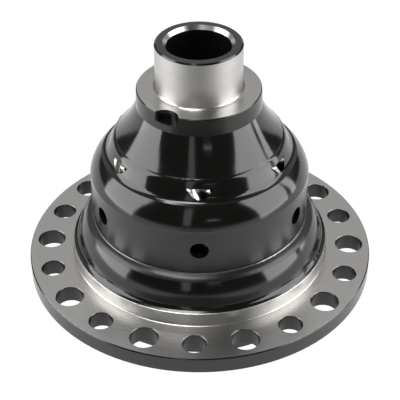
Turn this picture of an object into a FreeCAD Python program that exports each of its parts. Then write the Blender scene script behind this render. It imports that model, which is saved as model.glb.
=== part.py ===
"""Helical-gear torque-biasing differential: closed case, end cover, two side gears, six pinion pairs.

Millimetres. +Z is the case axis. The origin is the centre of the flange's machined face, where the
ring gear seats. The upper bearing journal is at +Z and the cover with the lower journal at -Z.
"""
import FreeCAD, Part
import math
import os
import Sketcher
from FreeCAD import Vector

doc = FreeCAD.newDocument("differential")
sheet = doc.addObject("Spreadsheet::Sheet", "Dimensions")

DIMENSIONS = {
    # bearing journals and axle bores, the same at both ends
    "journal_radius": 20.0,
    "journal_length": 22.6,
    "journal_chamfer": 0.7,
    "journal_fillet": 1.4,
    "axle_bore_radius": 14.75,
    "axle_bore_mouth_radius": 16.15,
    "axle_bore_chamfer_depth": 2.0,
    # collar under the upper journal, with its two puller notches
    "collar_radius": 28.75,
    "collar_top": 89.8,
    "collar_chamfer": 0.45,
    "collar_foot_radius": 29.1,
    "collar_foot": 81.5,
    "notch_radius": 6.5,
    "notch_axis_radius": 30.65,
    "notch_depth": 4.7,
    "notch_angle": -28.2,
    # flared cone and the rounded ridge at its foot
    "flare_arc_radius": 48.7,
    "ridge_top_radius": 38.9,
    "ridge_top": 65.7,
    "ridge_arc_radius": 4.8,
    "ridge_radius": 40.9,
    "ridge_low": 63.1,
    # groove that hollows out into the lip, and rounded shoulder
    "groove_radius": 43.0,
    "groove": 58.5,
    "groove_arc_radius": 4.2,
    "lip_inner_radius": 44.85,
    "lip_inner": 56.5,
    "lip_radius": 45.9,
    "lip": 56.0,
    "shoulder_radius": 51.8,
    "shoulder_foot": 46.2,
    "shoulder_arc_radius": 20.0,
    # wall, bead, bell and the register that centres the ring gear
    "wall_fillet": 0.9,
    "bead_inner": 22.0,
    "bead_arc_radius": 3.6,
    "bead_radius": 55.2,
    "bead": 20.3,
    "bell_arc_radius": 30.0,
    "bell_low_radius": 59.4,
    "bell_low": 10.1,
    "bell_flare_radius": 3.0,
    "bell_radius": 60.9,
    "bell_foot": 7.7,
    "register_radius": 62.2,
    "register_height": 6.9,
    "register_fillet": 0.8,
    # flange and its twenty holes
    "flange_radius": 84.0,
    "flange_thickness": 8.4,
    "flange_chamfer": 0.5,
    "bolt_circle_radius": 74.0,
    "bolts_per_size": 10,
    "small_hole_radius": 5.5,
    "large_hole_radius": 6.5,
    "hole_chamfer": 0.3,
    # pinion pairs; the upper pinions' pockets break out through the groove under the ridge
    "pair_count": 6,
    "pair_phase": 1.8,
    "pocket_clearance": 0.12,
    "upper_pocket_top": 62.0,
    "window_radius": 4.3,
    "window_height": 35.5,
    # chambers inside the case
    "chamber_top": 46.5,
    "hub_bore_radius": 19.56,
    "hub_bore_top": 74.0,
    "hub_bore_cone": 4.0,
    # end cover
    "cover_radius": 58.95,
    "recess_radius": 59.0,
    "cover_face": -6.5,
    "cover_thickness": 14.0,
    "cover_chamfer": 1.0,
    "cover_collar_height": 3.8,
    "cover_hub_bore_depth": 10.6,
    # cover screws, M8, and dowels; a screw stands at this share of the way to the next pinion pair
    "screw_turn_share": 0.7,
    "screw_circle_radius": 50.5,
    "screw_radius": 3.95,
    "screw_hole_radius": 4.0,
    "screw_clearance_radius": 4.4,
    "screw_head_radius": 6.5,
    "screw_head_height": 8.0,
    "screw_socket_width": 6.0,
    "screw_socket_depth": 4.0,
    "counterbore_radius": 7.0,
    "counterbore_depth": 8.4,
    "screw_reach": 10.0,
    "screw_hole_reach": 12.0,
    "dowel_circle_radius": 53.6,
    "dowel_radius": 3.0,
    "dowel_hole_radius": 3.02,
    "dowel_low": -14.0,
    "dowel_high": 2.0,
    "dowel_chamfer": 0.5,
    # gears: transverse sizes
    "transverse_module": 2.32,
    "pressure_angle": 29.65,
    "helix_angle": 35.0,
    "addendum": 1.69,
    "dedendum": 2.13,
    "tooth_thinning": 0.12,
    "side_gear_teeth": 24,
    "pinion_teeth": 6,
    # axial stack
    "end_gap": 0.1,
    "washer_thickness": 1.5,
    "side_gear_face": 16.8,
    "hub_radius": 19.5,
    "upper_hub_top": 73.2,
    "lower_hub_reach": 10.0,
    "hub_chamfer": 0.6,
    "spline_minor_radius": 12.6,
    "spline_major_radius": 13.9,
    "spline_groove_width": 1.6,
    "spline_count": 27,
    "pinion_overlap_low": 13.0,
    "pinion_overlap_high": 27.0,
    "pinion_shank_radius": 4.75,
    "pinion_chamfer": 0.5,
    # centre stack between the side gears
    "end_washer_outer_radius": 25.8,
    "end_washer_inner_radius": 20.2,
    "centre_washer_outer_radius": 25.2,
    "centre_washer_inner_radius": 14.5,
    "spring_outer_radius": 24.6,
    "spring_inner_radius": 15.5,
    "spring_thickness": 1.8,
    "spring_rise": 1.2,
    "spacer_outer_radius": 24.2,
    "spacer_inner_radius": 16.0,
}


class Size:
    """A length that carries both its value and the spreadsheet expression it comes from."""

    def __init__(self, value, text):
        self.value = float(value)
        self.text = text

    @staticmethod
    def of(other):
        return other if isinstance(other, Size) else Size(other, str(other))

    def combine(self, other, symbol, value):
        return Size(value, f"({self.text} {symbol} {Size.of(other).text})")

    def __add__(self, other):
        return self.combine(other, "+", self.value + Size.of(other).value)

    def __sub__(self, other):
        return self.combine(other, "-", self.value - Size.of(other).value)

    def __mul__(self, other):
        return self.combine(other, "*", self.value * Size.of(other).value)

    def __truediv__(self, other):
        return self.combine(other, "/", self.value / Size.of(other).value)

    def __neg__(self):
        return Size(-self.value, f"(0 - {self.text})")


def fill_sheet():
    for row, (alias, value) in enumerate(DIMENSIONS.items(), start=1):
        sheet.set(f"A{row}", alias.replace("_", " "))
        sheet.set(f"B{row}", str(value))
        sheet.setAlias(f"B{row}", alias)
    doc.recompute()


def dim(alias):
    return Size(DIMENSIONS[alias], f"Dimensions.{alias}")


def bind(target, prop, size):
    """Tie one property to the sheet."""
    target.setExpression(prop, Size.of(size).text)


# ---------------------------------------------------------------- sketches

def origin_plane(body, role):
    return next(item for item in body.Origin.OriginFeatures if item.Role == role)


def new_body(label):
    body = doc.addObject("PartDesign::Body", label)
    body.Label = label
    return body


def new_sketch(body, name, role="XZ_Plane", azimuth=None):
    """Sketch on an origin plane; an upright one can be turned about Z to face an azimuth."""
    sketch = body.newObject("Sketcher::SketchObject", name)
    sketch.AttachmentSupport = [(origin_plane(body, role), "")]
    sketch.MapMode = "FlatFace"
    if azimuth is not None:
        azimuth = Size.of(azimuth)
        sketch.AttachmentOffset = FreeCAD.Placement(Vector(), FreeCAD.Rotation(Vector(0, 1, 0), 1))
        bind(sketch, "AttachmentOffset.Rotation.Angle", azimuth)
    return sketch


def fix_point(sketch, geometry, end, across, up):
    """Hold a point at two sheet-driven distances from the sketch's origin."""
    for kind, size in (("DistanceX", across), ("DistanceY", up)):
        size = Size.of(size)
        index = sketch.addConstraint(Sketcher.Constraint(kind, -1, 1, geometry, end, size.value))
        bind(sketch, f"Constraints[{index}]", size)


def stretch(start, stop, radius=None):
    """Straight or round stretch from start to stop, with the numbers of its first and last ends.

    A positive radius turns left, anticlockwise, on the way; a negative one turns right. Arcs are
    always made anticlockwise, so one that turns right runs from stop to start.
    """
    if radius is None:
        return Part.LineSegment(start, stop), (1, 2)
    chord = stop - start
    left = Vector(-chord.y, chord.x, 0).normalize()
    reach = math.sqrt(radius * radius - chord.Length * chord.Length / 4)
    centre = (start + stop) * 0.5 + left * math.copysign(reach, radius)
    ends = (1, 2) if radius > 0 else (2, 1)
    first, last = (start, stop) if radius > 0 else (stop, start)
    angles = [math.atan2(point.y - centre.y, point.x - centre.x) for point in (first, last)]
    circle = Part.Circle(centre, Vector(0, 0, 1), abs(radius))
    return Part.ArcOfCircle(circle, angles[0], angles[1]), ends


def closed_outline(sketch, corners):
    """Closed outline of straight and round stretches.

    Each corner is (across, up) or (across, up, arc radius), the radius being that of the stretch
    that leads to the next corner. Every corner and radius is driven by the sheet.
    """
    corners = [tuple(Size.of(value) for value in corner) for corner in corners]
    points = [Vector(corner[0].value, corner[1].value, 0) for corner in corners]
    ends = []
    for corner, start, stop in zip(corners, points, points[1:] + points[:1]):
        radius = corner[2].value if len(corner) == 3 else None
        curve, numbers = stretch(start, stop, radius)
        sketch.addGeometry(curve, False)
        ends.append(numbers)
    for index, corner in enumerate(corners):
        following = (index + 1) % len(corners)
        sketch.addConstraint(
            Sketcher.Constraint("Coincident", index, ends[index][1], following, ends[following][0]))
        fix_point(sketch, index, ends[index][0], corner[0], corner[1])
        if len(corner) == 3:
            radius = abs(corner[2].value)
            number = sketch.addConstraint(Sketcher.Constraint("Radius", index, radius))
            bind(sketch, f"Constraints[{number}]", Size(radius, f"abs({corner[2].text})"))


def turn(body, name, corners, cut=False, pivot=None, azimuth=None):
    """Turn an outline of (radius, height) corners about Z, or about a pivot line in its plane.

    pivot is a pair of (across, up) points on the line; azimuth turns the whole plane about Z.
    """
    sketch = new_sketch(body, name + "_outline", azimuth=azimuth)
    closed_outline(sketch, corners)
    kind = "PartDesign::Groove" if cut else "PartDesign::Revolution"
    axis = "V_Axis"
    if pivot:
        ends = [Vector(Size.of(across).value, Size.of(up).value, 0) for across, up in pivot]
        line = sketch.addGeometry(Part.LineSegment(*ends), True)
        for end, (across, up) in enumerate(pivot, start=1):
            fix_point(sketch, line, end, across, up)
        axis = "Axis0"
    doc.recompute()
    before = body.Shape.Volume if cut else 0
    feature = body.newObject(kind, name)
    feature.Profile = sketch
    feature.ReferenceAxis = (sketch, [axis])
    feature.Angle = 360
    doc.recompute()
    if cut and not body.Shape.Volume < before:
        raise RuntimeError(f"{name} removes nothing")
    return feature


def repeat(body, name, features, count):
    """Repeat features evenly about Z."""
    pattern = body.newObject("PartDesign::PolarPattern", name)
    pattern.Originals = features
    pattern.Axis = (next(a for a in body.Origin.OriginFeatures if a.Role == "Z_Axis"), [""])
    pattern.Angle = 360
    bind(pattern, "Occurrences", count)
    body.Tip = pattern
    doc.recompute()
    return pattern


# ---------------------------------------------------------------- shared places

PINION_PITCH = dim("transverse_module") * dim("pinion_teeth") / 2
SIDE_PITCH = dim("transverse_module") * dim("side_gear_teeth") / 2
POCKET_AXIS = PINION_PITCH + SIDE_PITCH
POCKET_RADIUS = PINION_PITCH + dim("addendum") + dim("pocket_clearance")
CHAMBER_RADIUS = SIDE_PITCH + dim("addendum") + dim("pocket_clearance")

# upper pinions stand at even steps; each lower one is as far round as the pair's mesh puts it
PAIR_STEP = Size.of(360) / dim("pair_count")
UPPER_ANGLE = dim("pair_phase") - 90
PAIR_DEGREES = 2 * math.degrees(math.asin(PINION_PITCH.value / POCKET_AXIS.value))
PAIR_TEXT = f"2 * asin({PINION_PITCH.text} / {POCKET_AXIS.text}) / 1 deg"
LOWER_ANGLE = UPPER_ANGLE + Size(PAIR_DEGREES, PAIR_TEXT)
SCREW_ANGLE = UPPER_ANGLE + PAIR_STEP * dim("screw_turn_share")

COVER_LOW = dim("cover_face") - dim("cover_thickness")
LOWER_GEAR_LOW = dim("cover_face") + dim("washer_thickness") + dim("end_gap")
LOWER_GEAR_HIGH = LOWER_GEAR_LOW + dim("side_gear_face")
UPPER_GEAR_HIGH = dim("chamber_top") - dim("washer_thickness") - dim("end_gap")
UPPER_GEAR_LOW = UPPER_GEAR_HIGH - dim("side_gear_face")


def ring(body, name, inner, outer, low, high):
    """Plain ring of rectangular section."""
    return turn(body, name, [(inner, low), (outer, low), (outer, high), (inner, high)])


def drill(body, name, axis_radius, radius, low, high, chamfer=None, azimuth=None):
    """Round hole parallel to Z, with an optional chamfer at both mouths."""
    wall = axis_radius + radius
    corners = [(axis_radius, low), (wall, low), (wall, high), (axis_radius, high)]
    if chamfer is not None:
        corners = [(axis_radius, low), (wall + chamfer, low), (wall, low + chamfer),
                   (wall, high - chamfer), (wall + chamfer, high), (axis_radius, high)]
    pivot = [(axis_radius, low), (axis_radius, high)]
    return turn(body, name, corners, cut=True, pivot=pivot, azimuth=azimuth)


# ---------------------------------------------------------------- case

def journal_corners(sign, end, shoulder, radius_of_shoulder):
    """Journal outside from its bore mouth to the shoulder face; sign is +1 upward, -1 downward."""
    side = dim("journal_radius")
    fillet = dim("journal_fillet")
    return [
        (dim("axle_bore_mouth_radius"), end),
        (side - dim("journal_chamfer"), end),
        (side, end - dim("journal_chamfer") * sign),
        (side, shoulder + fillet * sign, fillet * sign),
        (side + fillet, shoulder),
        (radius_of_shoulder, shoulder),
    ]


def case_outline():
    """Half section of the case, from the journal's bore mouth down the outside and up the inside."""
    journal_top = dim("collar_top") + dim("journal_length")
    rim = dim("flange_radius")
    low = -dim("flange_thickness")
    edge = dim("flange_chamfer")
    foot = dim("register_fillet")
    fillet = dim("wall_fillet")
    outside = journal_corners(1, journal_top, dim("collar_top"),
                              dim("collar_radius") - dim("collar_chamfer"))
    outside += [
        (dim("collar_radius"), dim("collar_top") - dim("collar_chamfer")),
        (dim("collar_foot_radius"), dim("collar_foot"), dim("flare_arc_radius")),
        (dim("ridge_top_radius"), dim("ridge_top"), -dim("ridge_arc_radius")),
        (dim("ridge_radius"), dim("ridge_low")),
        (dim("groove_radius"), dim("groove"), dim("groove_arc_radius")),
        (dim("lip_inner_radius"), dim("lip_inner")),
        (dim("lip_radius"), dim("lip"), -dim("shoulder_arc_radius")),
        (dim("shoulder_radius"), dim("shoulder_foot")),
        (dim("shoulder_radius"), dim("bead_inner") + fillet, fillet),
        (dim("shoulder_radius") + fillet, dim("bead_inner"), -dim("bead_arc_radius")),
        (dim("bead_radius"), dim("bead"), -dim("bell_arc_radius")),
        (dim("bell_low_radius"), dim("bell_low"), dim("bell_flare_radius")),
        (dim("bell_radius"), dim("bell_foot")),
        (dim("register_radius"), dim("register_height")),
        (dim("register_radius"), foot, foot),
        (dim("register_radius") + foot, 0),
        (rim - edge, 0),
        (rim, -edge),
        (rim, low + edge),
        (rim - edge, low),
    ]
    inside = [
        (dim("recess_radius"), low),
        (dim("recess_radius"), dim("cover_face")),
        (CHAMBER_RADIUS, dim("cover_face")),
        (CHAMBER_RADIUS, dim("chamber_top")),
        (dim("hub_bore_radius"), dim("chamber_top")),
        (dim("hub_bore_radius"), dim("hub_bore_top")),
        (dim("axle_bore_radius"), dim("hub_bore_top") + dim("hub_bore_cone")),
        (dim("axle_bore_radius"), journal_top - dim("axle_bore_chamfer_depth")),
    ]
    return outside + inside


def build_case():
    body = new_body("differential_case")
    turn(body, "case_wall", case_outline())
    under, face = -dim("flange_thickness"), Size.of(0)
    small_holes = drill(body, "small_flange_hole", dim("bolt_circle_radius"), dim("small_hole_radius"),
                        under, face, dim("hole_chamfer"), azimuth=Size.of(180) / dim("bolts_per_size"))
    repeat(body, "small_flange_holes", [small_holes], dim("bolts_per_size"))
    large_holes = drill(body, "large_flange_hole", dim("bolt_circle_radius"), dim("large_hole_radius"),
                        under, face, dim("hole_chamfer"), azimuth=0)
    repeat(body, "large_flange_holes", [large_holes], dim("bolts_per_size"))
    pockets = (("upper_pinion_pocket", dim("upper_pocket_top"), UPPER_ANGLE),
               ("lower_pinion_pocket", dim("chamber_top"), LOWER_ANGLE))
    for name, top, azimuth in pockets:
        pocket = drill(body, name, POCKET_AXIS, POCKET_RADIUS, dim("cover_face"), top, azimuth=azimuth)
        repeat(body, name + "s", [pocket], dim("pair_count"))
    axis = dim("window_height")
    inner, outer = POCKET_AXIS, dim("shoulder_radius") + 1
    window = turn(body, "oil_window", [(inner, axis), (outer, axis), (outer, axis + dim("window_radius")),
                                       (inner, axis + dim("window_radius"))],
                  cut=True, pivot=[(inner, axis), (outer, axis)], azimuth=UPPER_ANGLE)
    repeat(body, "oil_windows", [window], dim("pair_count"))
    notch = drill(body, "puller_notch", dim("notch_axis_radius"), dim("notch_radius"),
                  dim("collar_top") - dim("notch_depth"), dim("collar_top") + 1,
                  azimuth=dim("notch_angle") - 90)
    repeat(body, "puller_notches", [notch], 2)
    screw_hole = drill(body, "screw_hole", dim("screw_circle_radius"), dim("screw_hole_radius"),
                       dim("cover_face"), dim("cover_face") + dim("screw_hole_reach"), azimuth=SCREW_ANGLE)
    repeat(body, "screw_holes", [screw_hole], dim("pair_count"))
    dowel_hole = drill(body, "dowel_hole", dim("dowel_circle_radius"), dim("dowel_hole_radius"),
                       dim("cover_face"), dim("dowel_high") + dim("end_gap"), azimuth=UPPER_ANGLE)
    repeat(body, "dowel_holes", [dowel_hole], 2)
    return body


def build_cover():
    body = new_body("end_cover")
    face = dim("cover_face")
    collar_low = COVER_LOW - dim("cover_collar_height")
    journal_low = collar_low - dim("journal_length")
    hub_floor = face - dim("cover_hub_bore_depth")
    edge = dim("cover_chamfer")
    bottom = journal_corners(-1, journal_low, collar_low, dim("collar_radius"))
    outline = bottom + [
        (dim("collar_radius"), COVER_LOW),
        (dim("cover_radius") - edge, COVER_LOW),
        (dim("cover_radius"), COVER_LOW + edge),
        (dim("cover_radius"), face),
        (dim("hub_bore_radius"), face),
        (dim("hub_bore_radius"), hub_floor),
        (dim("axle_bore_radius"), hub_floor),
        (dim("axle_bore_radius"), journal_low + dim("axle_bore_chamfer_depth")),
    ]
    turn(body, "cover_plate", outline)
    hole = drill(body, "screw_clearance", dim("screw_circle_radius"), dim("screw_clearance_radius"),
                 COVER_LOW, face, azimuth=SCREW_ANGLE)
    sink = drill(body, "counterbore", dim("screw_circle_radius"), dim("counterbore_radius"),
                 COVER_LOW, COVER_LOW + dim("counterbore_depth"), azimuth=SCREW_ANGLE)
    repeat(body, "cover_screw_holes", [hole, sink], dim("pair_count"))
    dowel_hole = drill(body, "cover_dowel_hole", dim("dowel_circle_radius"), dim("dowel_hole_radius"),
                       dim("dowel_low"), face, azimuth=UPPER_ANGLE)
    repeat(body, "cover_dowel_holes", [dowel_hole], 2)
    return body


def build_screws():
    """Six socket-head screws, head down in the cover's counterbores."""
    body = new_body("cover_screws")
    body.AllowCompound = True
    axis = dim("screw_circle_radius")
    seat = COVER_LOW + dim("counterbore_depth")
    head_low = seat - dim("screw_head_height")
    head = axis + dim("screw_head_radius")
    shank = axis + dim("screw_radius")
    tip = dim("cover_face") + dim("screw_reach")
    edge = dim("screw_head_radius") / 10
    corners = [(axis, head_low), (head - edge, head_low), (head, head_low + edge), (head, seat),
               (shank, seat), (shank, tip - edge), (shank - edge, tip), (axis, tip)]
    turned = turn(body, "screw", corners, pivot=[(axis, head_low), (axis, tip)], azimuth=SCREW_ANGLE)
    socket = hex_socket(body, axis, head_low, SCREW_ANGLE)
    repeat(body, "screws", [turned, socket], dim("pair_count"))
    return body


def swung_point(radius, angle):
    """Sizes across and up of a point at a radius and an angle in degrees, in a plane normal to Z."""
    turned = math.radians(angle.value)
    return (radius * Size(math.cos(turned), f"cos({angle.text} * 1 deg)"),
            radius * Size(math.sin(turned), f"sin({angle.text} * 1 deg)"))


def hex_socket(body, axis, head_low, azimuth):
    """Hexagonal socket sunk up into a screw's head."""
    sketch = new_sketch(body, "socket_outline", "XY_Plane")
    corner_radius = dim("screw_socket_width") / math.sqrt(3)
    centre = swung_point(axis, azimuth)
    corners = []
    for side in range(6):
        offset = swung_point(corner_radius, azimuth + 60 * side)
        corners.append((centre[0] + offset[0], centre[1] + offset[1]))
    closed_outline(sketch, corners)
    bind(sketch, "AttachmentOffset.Base.z", head_low)
    doc.recompute()
    before = body.Shape.Volume
    pocket = body.newObject("PartDesign::Pocket", "socket")
    pocket.Profile = sketch
    pocket.Reversed = True
    bind(pocket, "Length", dim("screw_socket_depth"))
    doc.recompute()
    if not body.Shape.Volume < before:
        raise RuntimeError("the screw's socket removes nothing")
    return pocket


def build_dowels():
    body = new_body("dowel_pins")
    body.AllowCompound = True
    axis = dim("dowel_circle_radius")
    side = axis + dim("dowel_radius")
    edge = dim("dowel_chamfer")
    low, high = dim("dowel_low"), dim("dowel_high")
    corners = [(axis, low), (side - edge, low), (side, low + edge), (side, high - edge),
               (side - edge, high), (axis, high)]
    pin = turn(body, "dowel", corners, pivot=[(axis, low), (axis, high)], azimuth=UPPER_ANGLE)
    repeat(body, "dowels", [pin], 2)
    return body


# ---------------------------------------------------------------- gear teeth

def polar(radius, angle, height=0.0):
    """Point at a radius and an angle in degrees."""
    return Vector(radius * math.cos(math.radians(angle)), radius * math.sin(math.radians(angle)), height)


def involute_degrees(base, radius):
    """Polar angle that an involute has turned through where it reaches a radius."""
    roll = math.acos(base / radius)
    return math.degrees(math.tan(roll) - roll)


def spline_edge(points):
    curve = Part.BSplineCurve()
    curve.interpolate(points)
    return curve.toShape()


def tooth_edges(teeth, centre, height):
    """Outline of one tooth and the root that follows it, in the transverse plane."""
    module = DIMENSIONS["transverse_module"]
    pitch = module * teeth / 2
    base = pitch * math.cos(math.radians(DIMENSIONS["pressure_angle"]))
    tip = pitch + DIMENSIONS["addendum"]
    root = pitch - DIMENSIONS["dedendum"]
    thickness = math.pi * module / 2 - DIMENSIONS["tooth_thinning"]
    half = math.degrees(thickness / (2 * pitch)) + involute_degrees(base, pitch)
    flank_start = max(root, base * 1.002)
    flank_points = 7
    radii = [flank_start + (tip - flank_start) * i / (flank_points - 1) for i in range(flank_points)]
    rising = [polar(r, centre - half + involute_degrees(base, r), height) for r in radii]
    falling = [polar(r, centre + half - involute_degrees(base, r), height) for r in reversed(radii)]
    root_half = half - involute_degrees(base, flank_start)
    step = 360 / teeth
    root_start = polar(root, centre - root_half, height)
    root_end = polar(root, centre + root_half, height)
    root_next = polar(root, centre + step - root_half, height)
    edges = []
    if flank_start > root:
        edges.append(Part.makeLine(root_start, rising[0]))
    edges.append(spline_edge(rising))
    edges.append(Part.Arc(rising[-1], polar(tip, centre, height), falling[0]).toShape())
    edges.append(spline_edge(falling))
    if flank_start > root:
        edges.append(Part.makeLine(falling[-1], root_end))
    edges.append(Part.Arc(root_end, polar(root, centre + step / 2, height), root_next).toShape())
    return edges


def helical_teeth(label, teeth, hand, phase, low, high):
    """Toothed length of a gear. phase is a tooth's direction, in degrees, at the mid plane.

    hand is +1 where the teeth turn anticlockwise as they rise. The tooth ends are chamfered.
    """
    pitch_radius = DIMENSIONS["transverse_module"] * teeth / 2
    tip = pitch_radius + DIMENSIONS["addendum"]
    twist = hand * math.tan(math.radians(DIMENSIONS["helix_angle"])) / pitch_radius
    at_low = phase + math.degrees(twist * (low - MID_PLANE))
    edges = []
    for tooth in range(teeth):
        edges += tooth_edges(teeth, at_low + 360 / teeth * tooth, low)
    guide = Part.makeHelix(2 * math.pi / abs(twist), high - low, pitch_radius, 0, hand < 0)
    guide.translate(Vector(0, 0, low))
    sweep = Part.BRepOffsetAPI.MakePipeShell(Part.Wire(Part.makeLine(Vector(0, 0, low), Vector(0, 0, high))))
    sweep.setAuxiliarySpine(Part.Wire(guide.Edges), True, 0)
    sweep.add(Part.Wire(edges), False, False)
    sweep.build()
    sweep.makeSolid()
    edge = DIMENSIONS["pinion_chamfer"]
    blank_points = [Vector(0, 0, low), Vector(tip - edge, 0, low), Vector(tip + edge, 0, low + 2 * edge),
                    Vector(tip + edge, 0, high - 2 * edge), Vector(tip - edge, 0, high), Vector(0, 0, high)]
    blank = Part.Face(Part.makePolygon(blank_points, True)).revolve(Vector(), Vector(0, 0, 1), 360)
    teeth_object = doc.addObject("Part::Feature", label)
    teeth_object.Label = label
    teeth_object.Shape = sweep.shape().common(blank).Solids[0]
    return teeth_object


def mesh_phase(line_angle, driver_teeth, driver_phase, follower_teeth):
    """Direction of a follower's tooth that puts it centrally in one of the driver's spaces.

    line_angle is the direction from the driver's axis to the follower's, in degrees.
    """
    driver_fraction = (driver_phase - line_angle) * driver_teeth / 360
    follower_fraction = 0.5 - driver_fraction
    return line_angle + 180 + follower_fraction * 360 / follower_teeth


# ---------------------------------------------------------------- gears

MID_PLANE = (UPPER_GEAR_LOW.value + LOWER_GEAR_HIGH.value) / 2
SIDE_TEETH = DIMENSIONS["side_gear_teeth"]
PINION_TEETH = DIMENSIONS["pinion_teeth"]
UPPER_HAND = 1
UPPER_PHASE = 2.6  # direction of a tooth of the upper side gear, in degrees


def pair_phases():
    """Tooth directions of pair 1's upper and lower pinion, and of the lower side gear."""
    upper = mesh_phase(UPPER_ANGLE.value, SIDE_TEETH, UPPER_PHASE, PINION_TEETH)
    across = polar(1, LOWER_ANGLE.value) - polar(1, UPPER_ANGLE.value)
    across_angle = math.degrees(math.atan2(across.y, across.x))
    lower = mesh_phase(across_angle, PINION_TEETH, upper, PINION_TEETH)
    side = mesh_phase(LOWER_ANGLE.value + 180, PINION_TEETH, lower, SIDE_TEETH)
    return upper, lower, side


def body_on_teeth(label, teeth_object):
    """Body that starts from a toothed length."""
    body = new_body(label)
    body.BaseFeature = teeth_object
    doc.recompute()
    return body


def build_side_gear(label, hand, phase, low, high, hub_end):
    """Side gear with its hub toward hub_end, a through bore and internal splines."""
    body = body_on_teeth(label, helical_teeth(label + "_teeth", SIDE_TEETH, hand, phase, low.value, high.value))
    upward = hub_end.value > high.value
    inner_end = low if upward else high
    edge = dim("hub_chamfer")
    rise = edge * (1 if upward else -1)
    hub = dim("hub_radius")
    minor = dim("spline_minor_radius")
    middle = (low + high) / 2
    turn(body, "hub", [(minor, middle), (hub, middle), (hub, hub_end - rise), (hub - edge, hub_end),
                       (minor, hub_end)])
    turn(body, "bore", [(0, inner_end - rise), (minor + edge, inner_end - rise), (minor + edge, inner_end),
                        (minor, inner_end + rise), (minor, hub_end - rise), (minor + edge, hub_end),
                        (minor + edge, hub_end + rise), (0, hub_end + rise)], cut=True)
    groove = spline_groove(body, low, hub_end) if upward else spline_groove(body, hub_end, high)
    repeat(body, "splines", [groove], dim("spline_count"))
    return body


def spline_groove(body, low, high):
    """One axial groove of the internal splines, cut over the gear's whole length."""
    sketch = new_sketch(body, "spline_outline", "XY_Plane")
    half = dim("spline_groove_width") / 2
    inner = dim("spline_minor_radius") - half
    outer = dim("spline_major_radius")
    closed_outline(sketch, [(inner, -half), (outer, -half), (outer, half), (inner, half)])
    bind(sketch, "AttachmentOffset.Base.z", low)
    doc.recompute()
    before = body.Shape.Volume
    groove = body.newObject("PartDesign::Pocket", "spline_groove")
    groove.Profile = sketch
    groove.Reversed = True
    bind(groove, "Length", high - low)
    doc.recompute()
    if not body.Shape.Volume < before:
        raise RuntimeError("the spline groove removes nothing")
    return groove


def build_pinion(label, hand, phase, azimuth, teeth_low, teeth_high, shank_end):
    """Pinion with its toothed length and a plain shank, placed on its axis in the case."""
    body = body_on_teeth(label, helical_teeth(label + "_teeth", PINION_TEETH, hand, phase,
                                              teeth_low.value, teeth_high.value))
    middle = (teeth_low + teeth_high) / 2
    upward = shank_end.value > middle.value
    edge = dim("pinion_chamfer")
    shank = dim("pinion_shank_radius")
    turn(body, "shank", [(0, middle), (shank, middle), (shank, shank_end - edge * (1 if upward else -1)),
                         (shank - edge, shank_end), (0, shank_end)])
    body.Placement = FreeCAD.Placement(polar(POCKET_AXIS.value, azimuth), FreeCAD.Rotation())
    return body


def build_gears():
    upper_phase, lower_phase, side_phase = pair_phases()
    gears = [
        build_side_gear("upper_side_gear", UPPER_HAND, UPPER_PHASE, UPPER_GEAR_LOW, UPPER_GEAR_HIGH,
                        dim("upper_hub_top")),
        build_side_gear("lower_side_gear", -UPPER_HAND, side_phase, LOWER_GEAR_LOW, LOWER_GEAR_HIGH,
                        LOWER_GEAR_LOW - dim("lower_hub_reach")),
    ]
    bottom = dim("cover_face") + dim("end_gap")
    upper_top = dim("upper_pocket_top") - dim("end_gap")
    lower_top = dim("chamber_top") - dim("end_gap")
    for number in range(int(DIMENSIONS["pair_count"])):
        swing = PAIR_STEP.value * number
        gears.append(build_pinion(f"upper_pinion_{number + 1}", -UPPER_HAND, upper_phase + swing,
                                  UPPER_ANGLE.value + swing, dim("pinion_overlap_low"), upper_top, bottom))
        gears.append(build_pinion(f"lower_pinion_{number + 1}", UPPER_HAND, lower_phase + swing,
                                  LOWER_ANGLE.value + swing, bottom, dim("pinion_overlap_high"), lower_top))
    return gears


# ---------------------------------------------------------------- washers, springs, spacer

def build_ring(label, inner, outer, low, high):
    body = new_body(label)
    ring(body, label + "_ring", inner, outer, low, high)
    return body


def build_disc_spring(label, low, rises_inward):
    """Disc spring: a shallow cone whose inner edge is higher, or lower, than its outer edge."""
    body = new_body(label)
    inner, outer = dim("spring_inner_radius"), dim("spring_outer_radius")
    rise, thickness = dim("spring_rise"), dim("spring_thickness")
    inner_low = low + rise if rises_inward else low
    outer_low = low if rises_inward else low + rise
    turn(body, label + "_cone", [(inner, inner_low), (outer, outer_low), (outer, outer_low + thickness),
                                 (inner, inner_low + thickness)])
    return body


def build_stack():
    washer = dim("washer_thickness")
    spring = dim("spring_rise") + dim("spring_thickness")
    end_inner, end_outer = dim("end_washer_inner_radius"), dim("end_washer_outer_radius")
    inner, outer = dim("centre_washer_inner_radius"), dim("centre_washer_outer_radius")
    lower_washer_top = LOWER_GEAR_HIGH + washer
    upper_washer_low = UPPER_GEAR_LOW - washer
    spacer_low = lower_washer_top + spring
    spacer_high = upper_washer_low - dim("end_gap") - spring
    return [
        build_ring("upper_thrust_washer", end_inner, end_outer, dim("chamber_top") - washer,
                   dim("chamber_top")),
        build_ring("lower_thrust_washer", end_inner, end_outer, dim("cover_face"),
                   dim("cover_face") + washer),
        build_ring("centre_washer_lower", inner, outer, LOWER_GEAR_HIGH, lower_washer_top),
        build_ring("centre_washer_upper", inner, outer, upper_washer_low, UPPER_GEAR_LOW),
        build_disc_spring("disc_spring_lower", lower_washer_top, True),
        build_disc_spring("disc_spring_upper", spacer_high, False),
        build_ring("centre_spacer", dim("spacer_inner_radius"), dim("spacer_outer_radius"), spacer_low,
                   spacer_high),
    ]


# ---------------------------------------------------------------- check and write

def check_document():
    for item in doc.Objects:
        bad = [state for state in item.State if state in ("Invalid", "Error")]
        if bad:
            raise RuntimeError(f"{item.Label} is {bad}")


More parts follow.
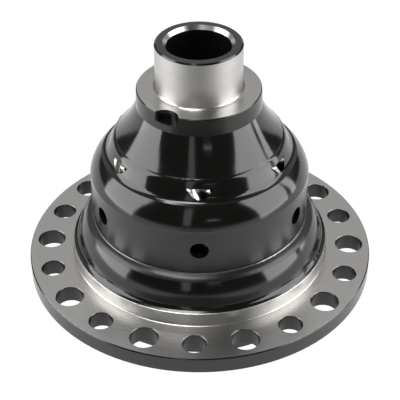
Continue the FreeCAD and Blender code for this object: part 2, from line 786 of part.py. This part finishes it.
def write_parts(parts):
    os.makedirs("parts", exist_ok=True)
    for part in parts:
        shape = part.Shape
        if shape.isNull() or not shape.isValid() or not shape.Solids:
            raise RuntimeError(f"{part.Label} has no valid solid")
        shape.exportStep(f"parts/{part.Label}.step")
        print(f"{part.Label}: {len(shape.Solids)} solids, {shape.Volume:.0f} mm3")


def main():
    fill_sheet()
    parts = [build_case(), build_cover(), build_screws(), build_dowels()]
    parts += build_gears() + build_stack()
    doc.recompute()
    check_document()
    write_parts(parts)


main()
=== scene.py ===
"""Studio, camera and materials for the differential gear assembly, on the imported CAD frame.

Lengths are metres in the row frame, unless a comment says millimetres: the axis of the case is Z,
and the machined face of the flange is z = 0.
"""

import math

import bpy
from mathutils import Matrix, Vector


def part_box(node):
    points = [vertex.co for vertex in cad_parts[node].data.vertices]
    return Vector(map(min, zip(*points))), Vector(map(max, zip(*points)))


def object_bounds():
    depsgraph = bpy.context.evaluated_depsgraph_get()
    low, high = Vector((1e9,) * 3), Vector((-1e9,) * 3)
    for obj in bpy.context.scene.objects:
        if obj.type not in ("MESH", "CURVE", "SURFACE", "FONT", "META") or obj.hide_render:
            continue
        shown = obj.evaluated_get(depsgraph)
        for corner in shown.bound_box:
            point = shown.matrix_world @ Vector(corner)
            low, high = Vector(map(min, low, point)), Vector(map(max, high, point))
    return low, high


MM = 0.001

# Edges of the case and cover that part one finish from another, in millimetres.
JOURNAL_RADIUS = 20.0
JOURNAL_CHAMFER = 0.7
COLLAR_RADIUS = 28.75
COLLAR_CHAMFER = 0.45
COLLAR_TOP = 89.8
COLLAR_SKIRT = 8.0
BORE_RADIUS = 14.75
BORE_MOUTH_RADIUS = 16.15
BORE_MOUTH_DEPTH = 2.0
REGISTER_TOP = 6.9
REGISTER_RADIUS = 62.2
FLANGE_RADIUS = 84.0
FLANGE_CHAMFER = 0.5
FLANGE_FACE_DEPTH = 0.05
FLANGE_UNDERSIDE = -8.4
BOLT_CIRCLE = 74.0
HOLE_BAND = 7.0
HOLE_CHAMFER = 0.2
WALL_RADIUS = 51.8
WALL_TOP = 45.0
WALL_FOOT = 22.9
BEAD_RADIUS = 55.2
BEAD_FOOT = 20.0
BELL_RADIUS = 60.9
COVER_COLLAR_FACE = -24.3
# Heights of a thin line of bare steel at the wall's foot, a painted highlight of the fillet there.
PAINTED_HIGHLIGHT_LINE = (WALL_FOOT - 0.42, WALL_FOOT - 0.28)

# How far a zone reaches past an edge or stops short of it, in millimetres.
HAIR = 0.1
SLIVER = 0.2
SKIN = 0.3
MARGIN = 1.0
ZONE_EDGE = 0.04  # half the width of the soft line between two finishes

# Colours, dark and light, that a pattern mixes.
COAT_DARK = (0.0035, 0.0038, 0.0032, 1.0)
COAT_LIGHT = (0.0075, 0.0078, 0.0068, 1.0)
STEEL_DARK = (0.42, 0.41, 0.395, 1.0)
STEEL_LIGHT = (0.50, 0.49, 0.475, 1.0)
STEEL_RINGS = (0.53, 0.52, 0.505, 1.0)
SCREW_DARK = (0.012, 0.012, 0.013, 1.0)
SCREW_LIGHT = (0.035, 0.033, 0.031, 1.0)
SCREW_RUBBED = (0.30, 0.29, 0.28, 1.0)
FLAG_DARK = (0.10, 0.10, 0.10, 1.0)
FLAG_LIGHT = (0.16, 0.16, 0.16, 1.0)
ROOM_DARK = (0.015, 0.015, 0.015, 1.0)
ROOM_LIGHT = (0.62, 0.62, 0.62, 1.0)
WHITE = (1.0, 1.0, 1.0, 1.0)

# How rough each finish is.
GLOSS = 0.10
SATIN = 0.21
MATT = 0.34
GROUND = 0.24
TURNED = 0.32
FORGED = 0.28

# How much longer a highlight is across the tool marks than along them.
TURNED_STRETCH = 0.6
CUT_STRETCH = 0.3
ACROSS_THE_MARKS = 0.25  # of a full turn
COAT_SPECULAR = 0.6

# How finely each pattern repeats, per metre.
FINE_RINGS = 3500.0
BROAD_RINGS = 420.0
CLOUD = 38.0
GRAIN = 2600.0
CUT_MARKS = 3000.0
OIL_CLOUD = 90.0
FORGED_CLOUD = 260.0
RUBBED_SPOTS = 700.0
WEAVE = 900.0

# How high the marks stand.
TOOL_MARK_HEIGHT = 0.000004
FORGED_HEIGHT = 0.00001

# Bare steel pieces: the dark and light of their tool marks, their roughness, and a stain if any.
CUT_FINISHES = {
    "dowel_steel": ((0.55, 0.55, 0.54, 1.0), (0.68, 0.68, 0.66, 1.0), 0.16, None),
    "gear_steel": ((0.46, 0.45, 0.43, 1.0), (0.60, 0.59, 0.56, 1.0), 0.24, (0.38, 0.35, 0.29, 1.0)),
    "pinion_steel": ((0.56, 0.55, 0.53, 1.0), (0.72, 0.71, 0.68, 1.0), 0.20, (0.50, 0.47, 0.41, 1.0)),
    "washer_steel": ((0.22, 0.22, 0.23, 1.0), (0.34, 0.34, 0.34, 1.0), 0.34, None),
    "spring_steel": ((0.10, 0.12, 0.17, 1.0), (0.20, 0.20, 0.22, 1.0), 0.26, (0.16, 0.12, 0.10, 1.0)),
    "spacer_steel": ((0.44, 0.43, 0.42, 1.0), (0.58, 0.57, 0.55, 1.0), 0.30, None),
}

# The camera stands where the photograph was taken from. Angles are degrees.
CAMERA_ELEVATION = 36.50
CAMERA_AZIMUTH = 2.04
CAMERA_DISTANCE = 0.5694
CAMERA_ROLL = -0.277
CAMERA_TARGET_HEIGHT = 0.02549
CAMERA_TARGET_SIDE = 0.00019
CAMERA_LENS = 105.4
SENSOR_WIDTH = 36.0

# Softboxes stand at the sides, the right one in two panels, and overhead. Two dim slits of light
# stand in front. Each has its azimuth, elevation, distance, width, height and power in watts.
LAMPS = {
    "softbox_left": (-83, 20, 1.0, 0.78, 1.15, 12.4),
    "softbox_right": (78, 24, 1.0, 0.70, 1.05, 10.0),
    "softbox_right_edge": (106, 24, 1.0, 0.15, 1.05, 2.1),
    "softbox_top": (-45, 74, 1.0, 0.50, 0.30, 5.0),
    "slit_upright": (-10, 28, 1.2, 0.15, 0.90, 0.40),
    "slit_level": (15, 21, 1.2, 0.24, 0.014, 0.10),
}

FLOOR_SIZE = 40.0
FLOOR_GAP = 0.0004
FLOOR_GLOW = 1.05

# A black card lies on the floor in front of the object, out of the camera's sight.
FLAG_NEAR = 0.188
FLAG_DEPTH = 1.2
FLAG_WIDTH = 0.5
FLAG_ROUGHNESS = 0.9


# ---------------------------------------------------------------- node helpers


class Nodes:
    """A node tree with short calls for the nodes that the materials are made of."""

    def __init__(self, tree):
        self.tree = tree
        tree.nodes.clear()

    def add(self, kind, **settings):
        node = self.tree.nodes.new(kind)
        for name, value in settings.items():
            setattr(node, name, value)
        return node

    def put(self, socket, value):
        """Sets a socket to a number or colour, or links it to another node's output."""
        if isinstance(value, bpy.types.NodeSocket):
            self.tree.links.new(value, socket)
        elif value is not None:
            socket.default_value = value

    def math(self, operation, a, b=None):
        node = self.add("ShaderNodeMath", operation=operation)
        self.put(node.inputs[0], a)
        self.put(node.inputs[1], b)
        return node.outputs[0]

    def ramp(self, value, low, high, to_low=0.0, to_high=1.0):
        """value from low to high, turned smoothly into to_low to to_high."""
        node = self.add("ShaderNodeMapRange", interpolation_type="SMOOTHSTEP")
        for socket, number in zip(node.inputs, (value, low, high, to_low, to_high)):
            self.put(socket, number)
        return node.outputs[0]

    def mix(self, factor, a, b):
        """Colour a where factor is 0, and b where it is 1."""
        node = self.add("ShaderNodeMix", data_type="RGBA")
        self.put(node.inputs["Factor"], factor)
        self.put(node.inputs[6], a)
        self.put(node.inputs[7], b)
        return node.outputs[2]

    def blend(self, factor, a, b):
        """Number a where factor is 0, and b where it is 1."""
        node = self.add("ShaderNodeMix", data_type="FLOAT")
        self.put(node.inputs["Factor"], factor)
        self.put(node.inputs[2], a)
        self.put(node.inputs[3], b)
        return node.outputs[0]

    def noise(self, at, scale, detail=2.0, roughness=0.5):
        """Noise from 0 to 1 at a vector, or at one number for noise in bands."""
        banded = at.type == "VALUE"
        node = self.add("ShaderNodeTexNoise", noise_dimensions="1D" if banded else "3D")
        self.put(node.inputs["W" if banded else "Vector"], at)
        self.put(node.inputs["Scale"], scale)
        self.put(node.inputs["Detail"], detail)
        self.put(node.inputs["Roughness"], roughness)
        return node.outputs[0]

    def bump(self, height, distance):
        node = self.add("ShaderNodeBump")
        self.put(node.inputs["Height"], height)
        self.put(node.inputs["Distance"], distance)
        self.put(node.inputs["Strength"], 1.0)
        return node.outputs[0]

    def point(self, kind="Object"):
        """Texture coordinates. A piece's own coordinates are its place in the row frame."""
        return self.add("ShaderNodeTexCoord").outputs[kind]

    def split(self, vector):
        node = self.add("ShaderNodeSeparateXYZ")
        self.put(node.inputs[0], vector)
        return node.outputs

    def place(self):
        """A point of the piece, its distance from the axis, and its height."""
        vector = self.point()
        x, y, z = self.split(vector)
        squares = self.math("ADD", self.math("MULTIPLY", x, x), self.math("MULTIPLY", y, y))
        return vector, self.math("SQRT", squares), z

    def between(self, value, low, high):
        """1 where value, in metres, lies between low and high, in millimetres."""
        above = self.ramp(value, (low - ZONE_EDGE) * MM, (low + ZONE_EDGE) * MM)
        below = self.ramp(value, (high - ZONE_EDGE) * MM, (high + ZONE_EDGE) * MM, 1.0, 0.0)
        return self.math("MULTIPLY", above, below)

    def ring_zone(self, radius, z, radii, heights):
        """1 inside a ring with these radii and heights, in millimetres."""
        return self.math("MULTIPLY", self.between(radius, *radii), self.between(z, *heights))

    def any_of(self, masks):
        total = masks[0]
        for mask in masks[1:]:
            total = self.math("MAXIMUM", total, mask)
        return total

    def turned_tangent(self):
        """The direction round the axis, along which a lathe leaves its marks."""
        return self.add("ShaderNodeTangent", direction_type="RADIAL", axis="Z").outputs[0]

    def surface(self, color, roughness, metallic, normal=None, anisotropic=None, specular=0.5):
        shader = self.add("ShaderNodeBsdfPrincipled")
        self.put(shader.inputs["Base Color"], color)
        self.put(shader.inputs["Roughness"], roughness)
        self.put(shader.inputs["Metallic"], metallic)
        self.put(shader.inputs["Specular IOR Level"], specular)
        self.put(shader.inputs["Normal"], normal)
        if anisotropic is not None:
            self.put(shader.inputs["Anisotropic"], anisotropic)
            self.put(shader.inputs["Anisotropic Rotation"], ACROSS_THE_MARKS)
            self.put(shader.inputs["Tangent"], self.turned_tangent())
        output = self.add("ShaderNodeOutputMaterial")
        self.put(output.inputs["Surface"], shader.outputs[0])


def new_material(name):
    material = bpy.data.materials.new(name)
    material.use_nodes = True
    return material, Nodes(material.node_tree)


# ---------------------------------------------------------------- finishes


JOURNAL_RING = (JOURNAL_RADIUS - MARGIN, COLLAR_RADIUS - COLLAR_CHAMFER)
BORE_MOUTH_RING = (BORE_RADIUS + HAIR, BORE_MOUTH_RADIUS)
FLANGE_RING = (BELL_RADIUS + SLIVER, FLANGE_RADIUS - FLANGE_CHAMFER)


def case_machined_and_highlight_zones(n, radius, z, top):
    """Where the case is turned or ground steel, and a thin line of bare steel at the wall's foot that
    is a painted highlight.
    """
    return n.any_of([
        n.ring_zone(radius, z, JOURNAL_RING, (COLLAR_TOP - HAIR, top - JOURNAL_CHAMFER)),
        n.ring_zone(radius, z, BORE_MOUTH_RING, (top - BORE_MOUTH_DEPTH, top + MARGIN)),
        n.ring_zone(radius, z, FLANGE_RING, (-FLANGE_FACE_DEPTH, REGISTER_TOP + SLIVER)),
        # Painted highlight: a thin line of bare steel at the fillet under the wall.
        n.ring_zone(radius, z, (WALL_RADIUS - SKIN, BEAD_RADIUS), PAINTED_HIGHLIGHT_LINE),
    ])


def machined_cover_zones(n, radius, z, bottom):
    """Where the cover is turned or ground steel."""
    return n.any_of([
        n.ring_zone(radius, z, JOURNAL_RING, (bottom + JOURNAL_CHAMFER, COVER_COLLAR_FACE + HAIR)),
        n.ring_zone(radius, z, BORE_MOUTH_RING, (bottom - MARGIN, bottom + BORE_MOUTH_DEPTH)),
    ])


def satin_zones(n, radius, z):
    """Where the black coat is satin, not gloss: straight wall, collar and the flange's rim."""
    wall = (WALL_RADIUS - SKIN, WALL_RADIUS + SKIN)
    collar = (COLLAR_RADIUS - MARGIN, COLLAR_RADIUS + SLIVER)
    return n.any_of([
        n.ring_zone(radius, z, wall, (WALL_FOOT, WALL_TOP)),
        n.ring_zone(radius, z, collar, (COLLAR_TOP - COLLAR_SKIRT, COLLAR_TOP + MARGIN)),
        n.between(radius, FLANGE_RADIUS - FLANGE_CHAMFER, FLANGE_RADIUS + MARGIN),
    ])


def matt_zones(n, radius, z):
    """Where the coat is nearly matt: the flange's holes, under their chamfers, and the bead."""
    holes = (BOLT_CIRCLE - HOLE_BAND, BOLT_CIRCLE + HOLE_BAND)
    bead = (WALL_RADIUS - SKIN, BEAD_RADIUS + SLIVER)
    return n.any_of([
        n.ring_zone(radius, z, holes, (FLANGE_UNDERSIDE, -HOLE_CHAMFER)),
        n.ring_zone(radius, z, bead, (BEAD_FOOT, WALL_FOOT)),
    ])


def ground_zones(n, radius):
    """Where a grinding wheel ran along an upright face: the journals and the register."""
    return n.any_of([
        n.between(radius, JOURNAL_RADIUS - SKIN, JOURNAL_RADIUS + SKIN),
        n.between(radius, REGISTER_RADIUS - SKIN, REGISTER_RADIUS + SKIN),
    ])


def coated_steel(name, bare_steel_zones, end):
    """Black oxide over turned steel, bare where it was machined after coating, and bare in a thin
    line at the wall's foot that is a painted highlight.

    end is the height of the journal's end face, in millimetres.
    """
    material, n = new_material(name)
    vector, radius, z = n.place()
    # bare covers the machined steel and, on the case, the painted highlight line at the wall's foot.
    bare = bare_steel_zones(n, radius, z, end)
    profile = n.math("SUBTRACT", radius, n.math("MULTIPLY", z, 0.7))
    fine_rings = n.noise(profile, FINE_RINGS, 3.0, 0.6)
    broad_rings = n.noise(profile, BROAD_RINGS)
    cloud = n.noise(vector, CLOUD, 4.0, 0.55)
    grain = n.noise(vector, GRAIN)

    coat = n.mix(cloud, COAT_DARK, COAT_LIGHT)
    steel = n.mix(fine_rings, n.mix(broad_rings, STEEL_DARK, STEEL_LIGHT), STEEL_RINGS)

    gloss = n.math("ADD", n.math("MULTIPLY", cloud, 0.06), GLOSS)
    gloss_or_satin = n.blend(satin_zones(n, radius, z), gloss, SATIN)
    coat_roughness = n.blend(matt_zones(n, radius, z), gloss_or_satin, MATT)
    ground = n.math("MULTIPLY", ground_zones(n, radius), bare)
    ground_or_turned = n.blend(ground, GROUND, TURNED)
    steel_roughness = n.math("ADD", n.math("MULTIPLY", fine_rings, 0.10), ground_or_turned)

    tool_marks = n.math("MULTIPLY", fine_rings, n.blend(bare, 0.25, 0.7))
    height = n.math("ADD", tool_marks, n.math("MULTIPLY", grain, 0.25))
    n.surface(
        color=n.mix(bare, coat, steel),
        roughness=n.blend(bare, coat_roughness, steel_roughness),
        metallic=bare,
        normal=n.bump(height, TOOL_MARK_HEIGHT),
        anisotropic=TURNED_STRETCH,
        specular=COAT_SPECULAR,
    )
    return material


def cut_steel(name, dark, light, roughness, stain):
    """Bare steel with fine tool marks round the axis and, where it has one, a cloudy stain."""
    material, n = new_material(name)
    vector, radius, z = n.place()
    profile = n.math("ADD", z, n.math("MULTIPLY", radius, 0.3))
    rings = n.noise(profile, CUT_MARKS, 3.0, 0.6)
    cloud = n.noise(vector, OIL_CLOUD, 3.0)
    color = n.mix(rings, dark, light)
    if stain:
        color = n.mix(n.ramp(cloud, 0.45, 0.75), color, stain)
    n.surface(
        color=color,
        roughness=n.math("ADD", n.math("MULTIPLY", cloud, 0.12), roughness),
        metallic=1.0,
        normal=n.bump(rings, TOOL_MARK_HEIGHT),
        anisotropic=CUT_STRETCH,
    )
    return material


def black_fastener(name):
    """Black oxide on a rolled and forged screw, with bare metal rubbed out in spots."""
    material, n = new_material(name)
    vector = n.point()
    cloud = n.noise(vector, FORGED_CLOUD, 4.0, 0.6)
    rubbed = n.ramp(n.noise(vector, RUBBED_SPOTS, 3.0), 0.66, 0.76)
    n.surface(
        color=n.mix(rubbed, n.mix(cloud, SCREW_DARK, SCREW_LIGHT), SCREW_RUBBED),
        roughness=n.math("ADD", n.math("MULTIPLY", cloud, 0.2), FORGED),
        metallic=n.math("MULTIPLY", rubbed, 0.8),
        normal=n.bump(cloud, FORGED_HEIGHT),
    )
    return material


def dress_nodes(frame):
    """Gives every CAD node its material, in the slot that the record names."""
    case_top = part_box("differential_case")[1].z / MM
    cover_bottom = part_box("end_cover")[0].z / MM
    finishes = {
        "black_oxide_case": coated_steel("black_oxide_case_finish", case_machined_and_highlight_zones, case_top),
        "black_oxide_cover": coated_steel(
            "black_oxide_cover_finish", machined_cover_zones, cover_bottom
        ),
        "screw_steel": black_fastener("screw_finish"),
    }
    for slot_name, look in CUT_FINISHES.items():
        finishes[slot_name] = cut_steel(slot_name.replace("_steel", "_finish"), *look)
    for node in frame["nodes"].values():
        for slot in node.material_slots:
            slot.material = finishes[slot.material.name.split(".")[0]]


# ---------------------------------------------------------------- studio


def direction(azimuth, elevation):
    """The unit vector at this azimuth, from -Y toward +X, and elevation, in degrees."""
    a, e = math.radians(azimuth), math.radians(elevation)
    return Vector((math.sin(a) * math.cos(e), -math.cos(a) * math.cos(e), math.sin(e)))


def aim(place, target):
    """The matrix of a camera or lamp at place that looks at target."""
    turn = (target - place).to_track_quat("-Z", "Y").to_matrix().to_4x4()
    return Matrix.Translation(place) @ turn


def add_to_scene(name, data):
    thing = bpy.data.objects.new(name, data)
    bpy.context.scene.collection.objects.link(thing)
    return thing


def softbox(name, azimuth, elevation, distance, width, height, power):
    """A rectangular area lamp that faces the object, and that the camera doesn't see."""
    data = bpy.data.lights.new(name, "AREA")
    data.shape = "RECTANGLE"
    data.size = width
    data.size_y = height
    data.energy = power
    lamp = add_to_scene(name, data)
    target = Vector((0.0, 0.0, CAMERA_TARGET_HEIGHT))
    lamp.matrix_world = aim(target + direction(azimuth, elevation) * distance, target)
    lamp.visible_camera = False


def flat_card(name, half_width, near, far, height, material):
    """A level rectangle of the stage, from y = near to y = far."""
    corners = [(-half_width, near), (half_width, near), (half_width, far), (-half_width, far)]
    mesh = bpy.data.meshes.new(name)
    mesh.from_pydata([(x, y, height) for x, y in corners], [], [(0, 1, 2, 3)])
    mesh.materials.append(material)
    card = add_to_scene(name, mesh)
    return card


def build_floor(height):
    """A plain white floor that glows evenly, as it does in the photograph."""
    material, n = new_material("floor_white")
    glow = n.add("ShaderNodeEmission")
    n.put(glow.inputs["Color"], WHITE)
    n.put(glow.inputs["Strength"], FLOOR_GLOW)
    output = n.add("ShaderNodeOutputMaterial")
    n.put(output.inputs["Surface"], glow.outputs[0])
    half = FLOOR_SIZE / 2
    flat_card("floor", half, -half, half, height, material)


def build_flag(height):
    """A black card in front, which keeps the floor's glow off the journal and collar."""
    material, n = new_material("flag_cloth")
    weave = n.noise(n.point(), WEAVE)
    n.surface(n.mix(weave, FLAG_DARK, FLAG_LIGHT), FLAG_ROUGHNESS, 0.0)
    far = -FLAG_NEAR - FLAG_DEPTH
    flag = flat_card("flag", FLAG_WIDTH / 2, far, -FLAG_NEAR, height, material)
    flag.visible_camera = False


def build_world():
    """Dim surroundings, lighter at the back above the horizon, and a white backdrop."""
    world = bpy.data.worlds.new("studio")
    bpy.context.scene.world = world
    world.use_nodes = True
    n = Nodes(world.node_tree)
    _, y, z = n.split(n.point("Generated"))
    room = n.add("ShaderNodeBackground")
    back = n.math("MULTIPLY", n.ramp(y, -0.2, 0.8), n.ramp(z, 0.1, 0.45))
    n.put(room.inputs["Color"], n.mix(back, ROOM_DARK, ROOM_LIGHT))
    backdrop = n.add("ShaderNodeBackground")
    n.put(backdrop.inputs["Color"], WHITE)
    seen = n.add("ShaderNodeMixShader")
    n.put(seen.inputs[0], n.add("ShaderNodeLightPath").outputs["Is Camera Ray"])
    n.put(seen.inputs[1], room.outputs[0])
    n.put(seen.inputs[2], backdrop.outputs[0])
    output = n.add("ShaderNodeOutputWorld")
    n.put(output.inputs["Surface"], seen.outputs[0])


def build_camera():
    data = bpy.data.cameras.new("camera")
    data.lens = CAMERA_LENS
    data.sensor_width = SENSOR_WIDTH
    camera = add_to_scene("camera", data)
    a = math.radians(CAMERA_AZIMUTH)
    side = Vector((math.cos(a), math.sin(a), 0.0)) * CAMERA_TARGET_SIDE
    target = Vector((0.0, 0.0, CAMERA_TARGET_HEIGHT)) + side
    place = target + direction(CAMERA_AZIMUTH, CAMERA_ELEVATION) * CAMERA_DISTANCE
    roll = Matrix.Rotation(math.radians(CAMERA_ROLL), 4, "Z")
    camera.matrix_world = aim(place, target) @ roll
    bpy.context.scene.camera = camera


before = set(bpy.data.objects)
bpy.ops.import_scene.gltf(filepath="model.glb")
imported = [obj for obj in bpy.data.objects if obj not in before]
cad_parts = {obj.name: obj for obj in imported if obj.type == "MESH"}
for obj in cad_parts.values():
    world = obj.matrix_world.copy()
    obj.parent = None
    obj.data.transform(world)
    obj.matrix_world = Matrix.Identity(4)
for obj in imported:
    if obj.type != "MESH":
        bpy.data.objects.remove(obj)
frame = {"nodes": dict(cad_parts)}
cad_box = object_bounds()
dress_nodes(frame)
build_floor(cad_box[0][2] - FLOOR_GAP)
build_flag(cad_box[0][2] - FLOOR_GAP / 2)
build_world()
for lamp_name, setting in LAMPS.items():
    softbox(lamp_name, *setting)
build_camera()
bpy.context.scene.view_settings.view_transform = "Standard"
